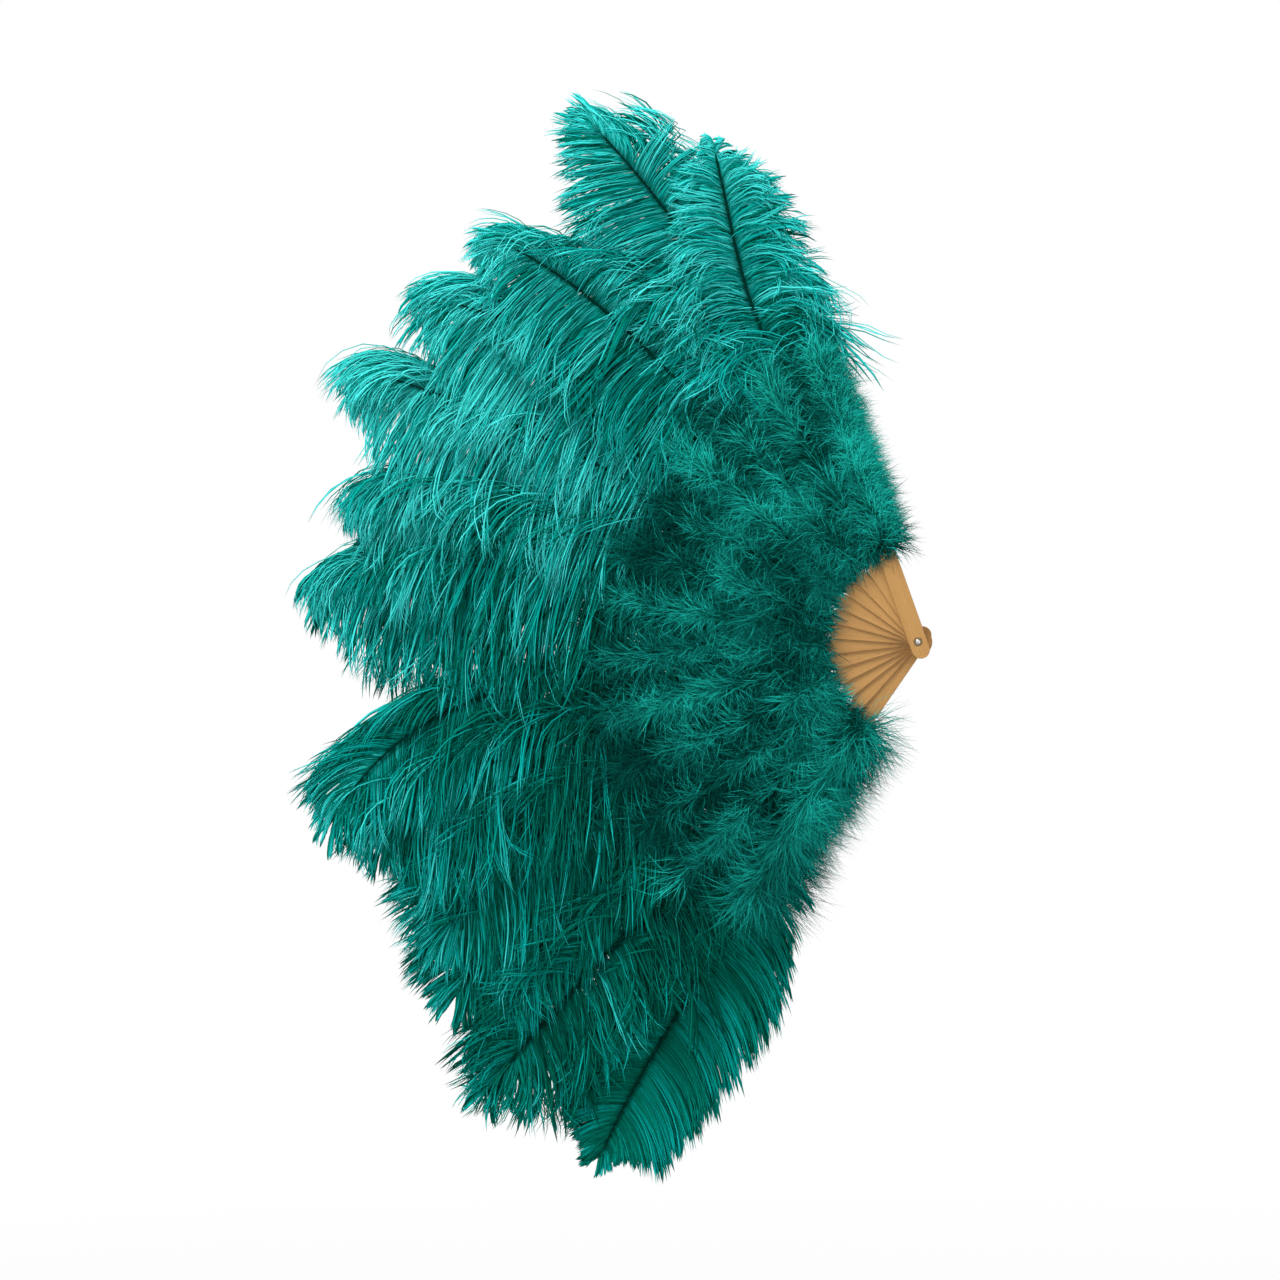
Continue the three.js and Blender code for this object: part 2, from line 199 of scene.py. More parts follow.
def read_stave(number):
    """A stave's angle from the points of its plume that lie nearest to the rivet, its tip from the farthest,
    its depth from the middle of its tuft, and the reach of the down from a tuft in the middle of the fan."""
    label = f"{number + 1:02d}"
    plume = points_of(f"plume_{label}")
    radius = np.hypot(plume[:, 0], plume[:, 2])
    slice_width = 0.0005
    root = plume[radius < radius.min() + slice_width].mean(axis=0)
    tip = plume[radius > radius.max() - slice_width].mean(axis=0)
    down = points_of(f"marabou_{label}")
    middle_down = points_of(f"marabou_{STAVES // 2:02d}")
    body = frame["nodes"][f"plume_{label}"]["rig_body"]
    in_body = [name for name, node in frame["nodes"].items() if node["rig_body"] == body]
    return Stave(
        number=number,
        node=next(name for name in in_body if name.endswith("guard") or name.startswith("stick")),
        body=body,
        angle=plane_angle(root),
        depth=(down[:, 1].min() + down[:, 1].max()) / 2,
        foot=radius.min(),
        down_reach=np.hypot(middle_down[:, 0], middle_down[:, 2]).max(),
        reach=radius.max(),
        tip_angle=plane_angle(tip),
        tip_depth=tip[1],
    )


# Settings that a user would change


class PlumeSettings(bpy.types.PropertyGroup):
    """The plumes."""

    locks: bpy.props.IntProperty(
        name="Locks", description="Locks of barbs in a layer, of which each side has two", default=132, min=2
    )
    barbs: bpy.props.IntProperty(name="Barbs", description="Barbs in one lock", default=4, min=1)
    length: bpy.props.FloatProperty(
        name="Barb length", description="Longest barb of a plume of length 1", default=0.125, unit="LENGTH"
    )
    radius: bpy.props.FloatProperty(
        name="Barb radius", description="Half the width of a barb at its widest", default=0.001, unit="LENGTH"
    )
    shaft_radius: bpy.props.FloatProperty(
        name="Shaft radius", description="Radius of the shaft at its foot", default=0.0019, unit="LENGTH"
    )
    foot_angle: bpy.props.FloatProperty(
        name="Foot angle", description="Barb to shaft, at the foot", default=radians(82), subtype="ANGLE"
    )
    tip_angle: bpy.props.FloatProperty(
        name="Tip angle", description="Barb to shaft, at the tip", default=radians(60), subtype="ANGLE"
    )
    sweep: bpy.props.FloatProperty(
        name="Sweep", description="Share of its angle that a barb loses along its length", default=0.35
    )
    head: bpy.props.FloatProperty(
        name="Head", description="How far the last barbs reach past the shaft", default=0.037, unit="LENGTH"
    )
    shaft_colour: bpy.props.FloatVectorProperty(
        name="Shaft",
        description="Colour of the shaft",
        default=(0.001, 0.020, 0.014, 1),
        subtype="COLOR",
        size=4,
    )
    deep_colour: bpy.props.FloatVectorProperty(
        name="Deep", description="Darkest barbs", default=(0.0004, 0.07, 0.046, 1), subtype="COLOR", size=4
    )
    low_colour: bpy.props.FloatVectorProperty(
        name="Low",
        description="Barbs of lower plumes",
        default=(0.001, 0.20, 0.143, 1),
        subtype="COLOR",
        size=4,
    )
    middle_colour: bpy.props.FloatVectorProperty(
        name="Middle", description="Common barbs", default=(0.002, 0.44, 0.40, 1), subtype="COLOR", size=4
    )
    light_colour: bpy.props.FloatVectorProperty(
        name="Light", description="Lightest barbs", default=(0.09, 0.93, 0.90, 1), subtype="COLOR", size=4
    )


class MarabouSettings(bpy.types.PropertyGroup):
    """The marabou down."""

    tufts: bpy.props.IntProperty(
        name="Tufts", description="Pairs of tufts on an inner stave", default=75, min=1
    )
    strands: bpy.props.IntProperty(name="Strands", description="Strands in one tuft", default=40, min=1)
    length: bpy.props.FloatProperty(
        name="Strand length", description="Usual length of a strand", default=0.057, unit="LENGTH"
    )
    radius: bpy.props.FloatProperty(
        name="Strand radius", description="Radius of a strand at its thickest", default=0.0004, unit="LENGTH"
    )
    deep_colour: bpy.props.FloatVectorProperty(
        name="Deep", description="Darkest down", default=(0.0004, 0.028, 0.018, 1), subtype="COLOR", size=4
    )
    light_colour: bpy.props.FloatVectorProperty(
        name="Light", description="Lightest down", default=(0.018, 0.68, 0.57, 1), subtype="COLOR", size=4
    )


class BambooSettings(bpy.types.PropertyGroup):
    """The bamboo of the staves."""

    pale_colour: bpy.props.FloatVectorProperty(
        name="Pale",
        description="Colour between fibres",
        default=(0.50, 0.268, 0.074, 1),
        subtype="COLOR",
        size=4,
    )
    deep_colour: bpy.props.FloatVectorProperty(
        name="Deep", description="Colour of fibres", default=(0.29, 0.134, 0.029, 1), subtype="COLOR", size=4
    )
    fibre: bpy.props.FloatProperty(
        name="Fibre width", description="Usual width of a fibre", default=0.0009, unit="LENGTH"
    )


class PivotSettings(bpy.types.PropertyGroup):
    """The rivet and its washers."""

    rivet_colour: bpy.props.FloatVectorProperty(
        name="Rivet",
        description="Colour of the rivet",
        default=(0.72, 0.71, 0.68, 1),
        subtype="COLOR",
        size=4,
    )
    washer_colour: bpy.props.FloatVectorProperty(
        name="Washers",
        description="Colour of the washers",
        default=(0.30, 0.21, 0.11, 1),
        subtype="COLOR",
        size=4,
    )


class RibbonSettings(bpy.types.PropertyGroup):
    """The ribbon between the staves."""

    colour: bpy.props.FloatVectorProperty(
        name="Colour",
        description="Colour of the ribbon",
        default=(0.004, 0.115, 0.085, 1),
        subtype="COLOR",
        size=4,
    )
    thread: bpy.props.FloatProperty(
        name="Thread", description="Spacing of the threads", default=0.0004, unit="LENGTH"
    )


class StageSettings(bpy.types.PropertyGroup):
    """The camera, the lamps and the floor."""

    lens: bpy.props.FloatProperty(
        name="Lens", description="Focal length", default=107, unit="CAMERA", subtype="DISTANCE_CAMERA"
    )
    distance: bpy.props.FloatProperty(
        name="Distance", description="Camera to the fan", default=4.0, unit="LENGTH"
    )
    azimuth: bpy.props.FloatProperty(
        name="Azimuth", description="Turn of the camera to the right", default=radians(4), subtype="ANGLE"
    )
    aim: bpy.props.FloatVectorProperty(
        name="Aim", description="What the camera points at", default=(-0.2915, 0, 0.002), subtype="XYZ"
    )
    floor_height: bpy.props.FloatProperty(
        name="Floor", description="Height of the floor", default=-1.05, unit="LENGTH"
    )
    key: bpy.props.FloatProperty(name="Key", description="Power of the key lamp", default=185, unit="POWER")
    fill: bpy.props.FloatProperty(name="Fill", description="Power of the fill lamp", default=24, unit="POWER")
    back: bpy.props.FloatProperty(name="Back", description="Power of the back lamp", default=60, unit="POWER")
    sky: bpy.props.FloatProperty(name="Sky", description="Strength of the light all round", default=0.38)


class FanSettings(bpy.types.PropertyGroup):
    """All settings of the fan."""

    plumes: bpy.props.PointerProperty(type=PlumeSettings)
    marabou: bpy.props.PointerProperty(type=MarabouSettings)
    bamboo: bpy.props.PointerProperty(type=BambooSettings)
    pivot: bpy.props.PointerProperty(type=PivotSettings)
    ribbon: bpy.props.PointerProperty(type=RibbonSettings)
    stage: bpy.props.PointerProperty(type=StageSettings)


# Materials


class Wire:
    """A socket that gives a value all over a surface, so that sums on it read as plain Python."""

    def __init__(self, finish, socket):
        self.finish = finish
        self.socket = socket

    def __add__(self, other):
        return self.finish.math("ADD", self, other)

    def __sub__(self, other):
        return self.finish.math("SUBTRACT", self, other)

    def __rsub__(self, other):
        return self.finish.math("SUBTRACT", other, self)

    def __mul__(self, other):
        return self.finish.math("MULTIPLY", self, other)

    def __pow__(self, other):
        return self.finish.math("POWER", self, other)

    __radd__ = __add__
    __rmul__ = __mul__


class Finish:
    """A node tree being written: one method adds any node, and the others name the common ones."""

    def __init__(self, owner):
        owner.use_nodes = True
        self.tree = owner.node_tree
        self.tree.nodes.clear()

    def node(self, kind, settings=None, inputs=None, output=0):
        """Adds a node: its settings first, then the values or links of its sockets."""
        made = self.tree.nodes.new(kind)
        for name, value in (settings or {}).items():
            if name == "stops":
                self.set_stops(made.color_ramp.elements, value)
            else:
                setattr(made, name, value)
        for name, value in (inputs or {}).items():
            if isinstance(value, Wire):
                self.tree.links.new(value.socket, made.inputs[name])
            else:
                made.inputs[name].default_value = value
        return Wire(self, made.outputs[output]) if made.outputs else None

    def set_stops(self, elements, stops):
        """Gives a new ramp, which has two elements, these stops."""
        while len(elements) < len(stops):
            elements.new(1)
        for element, (position, colour) in zip(elements, stops):
            element.position = position
            element.color = colour

    def math(self, operation, first, second):
        return self.node("ShaderNodeMath", {"operation": operation}, {0: first, 1: second})

    def ramp(self, value, *stops):
        return self.node("ShaderNodeValToRGB", {"stops": stops}, {"Fac": value})

    def mix(self, share, first, second):
        inputs = {0: share, 6: first, 7: second}
        return self.node("ShaderNodeMix", {"data_type": "RGBA"}, inputs, output=2)

    def noise(self, vector, scale, detail=2.0):
        inputs = {"Vector": vector, "Scale": scale, "Detail": detail}
        return self.node("ShaderNodeTexNoise", None, inputs)

    def place(self, turn=0.0, stretch=(1, 1, 1)):
        """Object coordinates, turned about Y and then scaled along each axis."""
        where = self.node("ShaderNodeTexCoord", output="Object")
        turned = self.node("ShaderNodeMapping", None, {"Vector": where, "Rotation": (0, turn, 0)})
        return self.node("ShaderNodeMapping", None, {"Vector": turned, "Scale": stretch})

    def distance(self, vector):
        """How far a place is from the origin."""
        return self.node("ShaderNodeVectorMath", {"operation": "LENGTH"}, {0: vector}, "Value")

    def bump(self, height, strength, distance):
        inputs = {"Height": height, "Strength": strength, "Distance": distance}
        return self.node("ShaderNodeBump", None, inputs)

    def surface(self, **inputs):
        """Ends the tree in one surface; a double word in a socket's name is joined by an underscore here."""
        sockets = {name.replace("_", " "): value for name, value in inputs.items()}
        shader = self.node("ShaderNodeBsdfPrincipled", None, sockets)
        self.node("ShaderNodeOutputMaterial", None, {"Surface": shader})


def strand_material(name, stops, root_shade_colour, root_shade_share, painted_tip_highlight):
    """Strands take their colour from their own map: across it lies the shade, along it the way to the tip.
    The shade rises towards the tip by a share of itself, as a painted highlight where the tips catch the
    light, and near the root a deep colour is mixed in as painted shade where the strands crowd together."""
    material = bpy.data.materials.new(name)
    finish = Finish(material)
    where = finish.node("ShaderNodeUVMap", {"uv_map": SHADE_MAP})
    shade = finish.node("ShaderNodeSeparateXYZ", None, {"Vector": where}, "X")
    along = finish.node("ShaderNodeSeparateXYZ", None, {"Vector": where}, "Y")
    flecks = (46, 9, 1)
    stretched = finish.node("ShaderNodeMapping", None, {"Vector": where, "Scale": flecks})
    mottle = finish.noise(stretched, 1.0, 3.0) - 0.5
    # The shade rises towards the tip as a painted highlight, where the tips catch the light
    tone = finish.ramp(shade + mottle * 0.16 + shade * along**3 * painted_tip_highlight, *stops)
    # Near the root a deep colour is mixed in as painted shade, where the strands crowd together
    painted_root_shade = (1 - along) ** 1.8
    finish.surface(
        Base_Color=finish.mix(painted_root_shade * root_shade_share, tone, root_shade_colour),
        Roughness=0.62 + mottle * 0.3,
        Specular_IOR_Level=0.0,
    )
    return material


def bamboo_material(name, settings, angle):
    """Split bamboo along a stave: long fibres, broad streaks, pores that catch dirt, and a dull varnish."""
    material = bpy.data.materials.new(name)
    finish = Finish(material)
    across = 1 / settings.fibre
    dirt_colour = (0.13, 0.06, 0.02, 1)
    fibres = finish.noise(finish.place(-angle, (9, across, across)), 1.0, 4.0)
    streaks = finish.noise(finish.place(-angle, (5, across / 9, across / 9)), 1.0, 2.0)
    pores = finish.noise(finish.place(-angle, (150, across * 1.6, across * 1.6)), 1.0, 1.0)
    tone = finish.mix(fibres * 0.75 + streaks * 0.55 - 0.25, settings.pale_colour, settings.deep_colour)
    dirt = finish.ramp(pores, (0.62, BLACK), (0.74, WHITE))
    finish.surface(
        Base_Color=finish.mix(dirt * 0.45, tone, dirt_colour),
        Roughness=0.40 + fibres * 0.22,
        Normal=finish.bump(fibres - dirt * 0.5, 0.35, 0.0003),
        Coat_Weight=0.15,
        Coat_Roughness=0.3,
    )
    return material


def metal_material(name, colour, roughness, dark_rim_radius):
    """Worn metal with blotches and small scuffs. It is darker beyond a radius, measured from the rivet's axis:
    on the rivet's domed head this darker rim is painted shade on the slope of the dome."""
    material = bpy.data.materials.new(name)
    finish = Finish(material)
    dark_rim_colour = (0.13, 0.09, 0.05, 1)
    scuffs = finish.noise(finish.place(0, (900, 900, 900)), 1.0, 3.0)
    blotches = finish.noise(finish.place(0, (260, 260, 260)), 1.0, 2.0)
    worn = tuple(channel * 0.55 for channel in colour[:3]) + (1,)
    off_axis = finish.distance(finish.place(0, (1, 0, 1)))
    # Darker beyond the radius; on the rivet this is painted shade on the sloping rim of its head
    dark_rim = finish.ramp(off_axis * (0.5 / dark_rim_radius), (0.35, BLACK), (0.65, WHITE))
    metal = finish.mix(blotches, colour, worn)
    finish.surface(
        Base_Color=finish.mix(dark_rim * 0.8, metal, dark_rim_colour),
        Metallic=1.0,
        Roughness=roughness + (scuffs - 0.5) * 0.3,
        Normal=finish.bump(scuffs, 0.12, 0.0001),
    )
    return material


def ribbon_material(name, settings):
    """Plain weave: threads of two directions cross on the ribbon's own map, a product of two sine waves."""
    material = bpy.data.materials.new(name)
    finish = Finish(material)
    where = finish.node("ShaderNodeUVMap", {"uv_map": SHADE_MAP})
    turns = 2 * pi / (RIBBON_MAP_SCALE * settings.thread)
    threads = []
    for axis in ("X", "Y"):
        along = finish.node("ShaderNodeSeparateXYZ", None, {"Vector": where}, axis)
        threads.append(finish.math("SINE", along * turns, 0))
    weave = threads[0] * threads[1] * 0.5 + 0.5
    pale = tuple(min(1, channel * 1.9) for channel in settings.colour[:3]) + (1,)
    finish.surface(
        Base_Color=finish.mix(weave, settings.colour, pale),
        Roughness=0.55 - weave * 0.15,
        Normal=finish.bump(weave, 0.5, 0.0001),
    )
    return material


# Strands


def unit(vectors):
    """Vectors of length 1."""
    return vectors / np.linalg.norm(vectors, axis=-1, keepdims=True)


def grow(roots, angles, tilts, lengths):
    """Strands as rows of points. From its root a strand walks equal steps; a step's direction has an angle
    in the plane of the fan, and its tilt is the share of the step that goes to the back."""
    flat = np.sqrt(1 - tilts**2)
    steps = np.stack((-np.cos(angles) * flat, tilts, np.sin(angles) * flat), axis=-1)
    steps = steps * (lengths / angles.shape[1])[:, None, None]
    return np.concatenate((roots[:, None], roots[:, None] + np.cumsum(steps, axis=1)), axis=1)


def gather(strands, per_lock, pull):
    """Draws the strands of each lock towards their mean, by a share that grows along them as a square."""
    locks = strands.reshape(-1, per_lock, *strands.shape[1:])
    share = pull * np.linspace(0, 1, strands.shape[1])[:, None] ** 2
    middle = locks.mean(axis=1, keepdims=True)
    return (locks + (middle - locks) * share).reshape(strands.shape)


def tubes(strands, radii, shades, sides=3, flat=1.0, rolls=0.0):
    """Closed tapered tubes round strands: a ring of corners at every point but the last, where they meet.
    A corner is the point plus its radius times the cosine and sine of its turn along two normals: one in the
    plane of the fan, rolled about the strand, and one square to it, along which the tube is flattened. Gives
    the corners, the triangles and each corner's place on the shade map."""
    count, points, _ = strands.shape
    nearly_back = np.array((0.02, 1, 0.01))
    ways = unit(np.gradient(strands, axis=1))
    level = unit(np.cross(ways, nearly_back))
    square = np.cross(ways, level)
    roll = np.broadcast_to(rolls, count)[:, None, None]
    first = level * np.cos(roll) + square * np.sin(roll)
    second = np.cross(ways, first) * flat
    turn = 2 * pi * np.arange(sides) / sides
    ring = first[:, :, None] * np.cos(turn)[:, None] + second[:, :, None] * np.sin(turn)[:, None]
    rings = strands[:, :-1, None] + ring[:, :-1] * radii[:, :-1, None, None]
    corners = np.concatenate((rings.reshape(count, -1, 3), strands[:, -1:]), axis=1)

    here = np.arange((points - 2) * sides).reshape(-1, sides)
    after = np.roll(here, -1, axis=1)
    last = np.arange(sides) + (points - 2) * sides
    apex = np.full(sides, (points - 1) * sides)
    cap = np.arange(1, sides - 1)
    one = np.concatenate(
        (
            np.stack((here, after, after + sides), axis=-1).reshape(-1, 3),
            np.stack((here, after + sides, here + sides), axis=-1).reshape(-1, 3),
            np.stack((last, np.roll(last, -1), apex), axis=-1),
            np.stack((np.zeros_like(cap), cap + 1, cap), axis=-1),
        )
    )
    starts = np.arange(count) * corners.shape[1]
    triangles = (starts[:, None, None] + one).reshape(-1, 3)

    map_width, map_length, map_step = 0.03, 0.97, 0.02
    along = map_length * np.linspace(0, 1, points)
    side_shift = np.linspace(0, 1, sides)
    step_shift = np.where(np.arange(sides) == 1, map_step, 0)
    ring_u = np.broadcast_to(side_shift * map_width, (points - 1, sides)).ravel()
    ring_v = (along[:-1, None] + step_shift).ravel()
    across = np.append(ring_u, map_width / 2)
    down = np.append(ring_v, along[-1] + map_step)
    shade_u = shades[:, None] * (1 - map_width) + across
    places = np.stack((shade_u, np.broadcast_to(down, shade_u.shape)), axis=-1)
    return corners.reshape(-1, 3), triangles, places.reshape(-1, 2)


def join(*parts):
    """One list of corners, triangles and map places out of several."""
    corners, triangles, places = zip(*parts)
    starts = np.cumsum([0] + [len(part) for part in corners[:-1]])
    shifted = [part + start for part, start in zip(triangles, starts)]
    return np.concatenate(corners), np.concatenate(shifted), np.concatenate(places)


def mesh_piece(name, corners, triangles, places, material):
    """A new smooth object from arrays, with its own shade map."""
    mesh = bpy.data.meshes.new(name)
    mesh.vertices.add(len(corners))
    mesh.vertices.foreach_set("co", corners.astype(np.float32).ravel())
    mesh.loops.add(triangles.size)
    mesh.loops.foreach_set("vertex_index", triangles.astype(np.int32).ravel())
    mesh.polygons.add(len(triangles))
    mesh.polygons.foreach_set("loop_start", np.arange(0, triangles.size, 3, dtype=np.int32))
    mesh.update(calc_edges=True)
    layer = mesh.uv_layers.new(name=SHADE_MAP)
    layer.uv.foreach_set("vector", places[triangles.ravel()].astype(np.float32).ravel())
    mesh.shade_smooth()
    mesh.materials.append(material)
    made = bpy.data.objects.new(name, mesh)
    bpy.context.scene.collection.objects.link(made)
    return made


def falling(start, share):
    """Angles that turn by a share from a start angle to nearly straight down: over the left side, or over the
    right side where the start points well past upright."""
    lean = radians(-3)
    past_upright = pi / 2 + radians(8)
    down = np.where(start > past_upright, 1.5 * pi - lean, lean - pi / 2)
    return start + (down - start) * share


def within_depth(strands, margin):
    """Strands eased back in depth to the frame's box, so that none stands further out than the margin."""
    limit = max(-CAD_BOX[0].y, CAD_BOX[1].y) + margin
    eased = strands.copy()
    eased[..., 1] = limit * np.tanh(strands[..., 1] / limit)
    return eased


# Plumes


def shaft_line(stave, style, start, end):
    """Points along a plume's shaft: the radius grows evenly, the angle turns to that of the tip with the
    square of the share of the way from the foot of the vane, and the depth grows in step with that share. The
    shaft bows by half a sine wave, most of it near the foot."""
    count = 160
    radius = np.linspace(start, end, count)
    vane_start = stave.down_reach
    share = np.clip((radius - vane_start) / (stave.reach - vane_start), 0, 1)
    angle = stave.angle + (stave.tip_angle + radians(style.lift) - stave.angle) * share**2
    angle = angle + radians(style.bow) * np.sin(pi * np.sqrt(np.linspace(0, 1, count)))
    depth = stave.depth + (stave.tip_depth - stave.depth) * share
    return np.stack((-radius * np.cos(angle), depth, radius * np.sin(angle)), axis=-1)


def drift(place, amount, knots, random):
    """A slow random change along a plume or a rib: random values at even knots, joined by straight lines."""
    return np.interp(place, np.linspace(0, 1, knots), random.normal(0, amount, knots))


def lock_layer(side, style, settings, random):
    """One layer of locks on one side of a shaft, as a row of values for each lock. Neighbouring locks differ
    little, because their values drift slowly along the shaft. Every fifth lock is broad, lies below the others
    and is darker, as painted shade in the gaps between them. A few strays lie across them, and those on the
    lower half are longer and hang. The last locks lean towards the tip and make its head."""
    locks = settings.locks
    place = ((np.arange(locks) + random.uniform(0, 1, locks)) / locks) ** 0.75
    head = np.clip((place - 0.82) / 0.12, 0, 1)
    stray = random.uniform(0, 1, locks) < 0.06 * style.ruffle
    # Under locks: broad barbs below the others, darker as painted shade in the gaps between them
    under = np.arange(locks) % 5 == 0
    hanging = stray & (place < 0.5)
    rough = style.ruffle + 0.7 * stray - 0.5 * style.ruffle * under

    # The angle to the shaft
    lean = settings.foot_angle + (settings.tip_angle - settings.foot_angle) * place**1.5
    lean = style.spread * lean * (1 - (1 - 0.4 * style.neat) * head * random.uniform(0, 1, locks))
    settled = 1 - 0.75 * np.clip((place - 0.5) / 0.35, 0, 1)
    lean = lean + settled * drift(place, radians(0.8 + 5.5 * style.ruffle), 12, random)
    lean = lean + np.radians(1 + 5 * rough) * random.normal(0, 1, locks)

    # The length, which swells towards the middle
    swell = 0.84 + 0.16 * np.sin(pi * np.clip(place / 0.95, 0, 1) ** 0.8)
    swell = swell * (1 - 0.46 * head) * (0.65 + 0.35 * np.clip(place / 0.12, 0, 1))
    swell = swell * (1 - 0.5 * style.neat * np.clip(2 * place - 1, 0, 1) ** 2) * (1 - style.taper * place)
    length = settings.length * style.length * swell * (1 + drift(place, 0.08, 12, random))
    length = length * (1 + 0.45 * hanging)

    # The share of a lock's turn to straight down
    droop = style.foot_fall + (style.tip_fall - style.foot_fall) * place**1.5
    droop = droop * (1 + drift(place, 0.12, 9, random)) + random.normal(0, 0.04, locks)
    droop = droop * (1 + (0.9 * style.foot_fall - 0.5) * head) + 0.4 * hanging

    # The tilt to the back, at the root and at the end
    behind = 0.18 * (1 - np.clip(1.8 * rough, 0, 1.3)) + 0.06 * under
    tilt = behind + drift(place, 0.08, 8, random) + random.normal(0, 1, locks) * (0.04 + 0.08 * rough)
    tilt_end = drift(place, 0.10, 8, random) + random.normal(-0.05, 1, locks) * (0.08 + 0.10 * rough)
    flatter = 1 - 0.8 * hanging
    tilts = (tilt * flatter, tilt_end * flatter)

    # The ripple and the curl
    wave = settled * drift(place, radians(2 + 6 * style.ruffle), 10, random)
    wave = wave + np.radians(2 + 9 * rough) * random.normal(0, 1, locks)
    phase = drift(place, 0.4, 8, random) + random.normal(0, 0.12, locks)
    curl = np.radians(5 + 30 * rough) * random.uniform(-1.7, 1.7, locks)

    # The shade, darker at the foot as painted shadow from the plumes above and on the under locks as painted
    # shade, and the width
    shade = style.foot_shade + (style.tip_shade - style.foot_shade) * place**1.2
    shade = shade + drift(place, 0.07, 14, random) + 0.10 * stray - 0.15 * under
    shade = shade + random.normal(0, 0.03 + 0.07 * style.foot_fall, locks)
    width = settings.radius * (1 + 1.6 * under) * (1 + 0.45 * style.neat)
    values = (np.full(locks, side), place, lean, length, droop, *tilts, wave, phase, curl, shade, width)
    return np.stack(values, axis=-1)


def plume_arrays(stave, style, settings, random):
    """A plume: a thin shaft and, on both sides, two layers of barbs. A barb leaves the shaft at an angle,
    sweeps towards the tip and falls, and it ripples and curls on the way. The barbs of a neat plume ripple
    less, and its shaft goes up to the tip."""
    points = 8
    calm = 1 - 0.6 * style.neat
    shaft_start = 0.86 * stave.down_reach
    shaft_end = stave.reach - settings.head * (1 - 1.1 * style.neat)
    shaft = shaft_line(stave, style, shaft_start, shaft_end)
    way = unit(np.gradient(shaft, axis=0))
    way_angle = np.arctan2(way[:, 2], -way[:, 0])

    locks = np.concatenate([lock_layer(side, style, settings, random) for side in (1, -1, 1, -1)])
    barbs = np.repeat(locks, settings.barbs, axis=0)
    side, place, lean, length, droop, tilt, tilt_end, wave, phase, curl, shade, width = barbs.T[..., None]
    count = len(barbs)

    def own(amount):
        """A small change of its own for each barb."""
        return random.normal(0, amount, (count, 1))

    position = np.clip(place + own(0.6 / settings.locks), 0, 1)[:, 0] * (len(shaft) - 1)
    index = np.arange(len(shaft))
    roots = np.stack([np.interp(position, index, shaft[:, axis]) for axis in range(3)], axis=-1)
    along = (np.arange(points - 1) + 0.5) / (points - 1)
    swept = 1 - (settings.sweep + 0.15 * style.neat) * along
    start = np.interp(position, index, way_angle)[:, None]
    start = start - side * (lean + own(radians(2.0) * calm)) * swept
    late = 0.45 + 1.2 * (1 - style.foot_fall) + 0.4 * place**2
    angles = falling(start, np.clip(droop + own(0.03), 0, 0.97) * along**late)
    angles = angles + (wave + own(radians(2.5) * calm)) * along * np.sin(2 * pi * (0.85 * along + phase))
    ripple = np.sin(2 * pi * (2.1 * along + random.uniform(0, 1, (count, 1))))
    wiggle = calm * radians(2 + 5 * style.ruffle) * ripple
    angles = angles + wiggle + (curl + own(radians(8) * calm)) * along**2.2
    tilts = (tilt + own(0.05)) * (1 - along) + (tilt_end + own(0.07)) * along
    lengths = length[:, 0] * (0.96 + calm * random.uniform(-0.24, 0.14, count))
    pull = 0.15 + 0.5 * style.foot_fall
    strands = gather(grow(roots, angles, np.clip(tilts, -0.8, 0.8), lengths), settings.barbs, pull)
    strands = within_depth(strands, PLUME_MARGIN)

    taper = 0.45 + 0.55 * np.sin(pi * np.linspace(0.28, 0.97, points))
    thickness = width * random.uniform(0.55, 1.1, (count, 1))
    shades = np.clip(shade + own(0.06 + 0.11 * style.foot_fall), 0.08, 1)[:, 0]
    rolls = random.uniform(-0.7, 0.7, count)
    barb_arrays = tubes(strands, thickness * taper, shades, flat=0.45, rolls=rolls)

    to_front = np.array((0, -1.5 * settings.shaft_radius, 0))
    line = within_depth(shaft[None, ::4], PLUME_MARGIN) + to_front
    shaft_taper = np.linspace(1, 0.45, line.shape[1])[None] * settings.shaft_radius
    return join(barb_arrays, tubes(line, shaft_taper, np.zeros(1), sides=6))


# Marabou


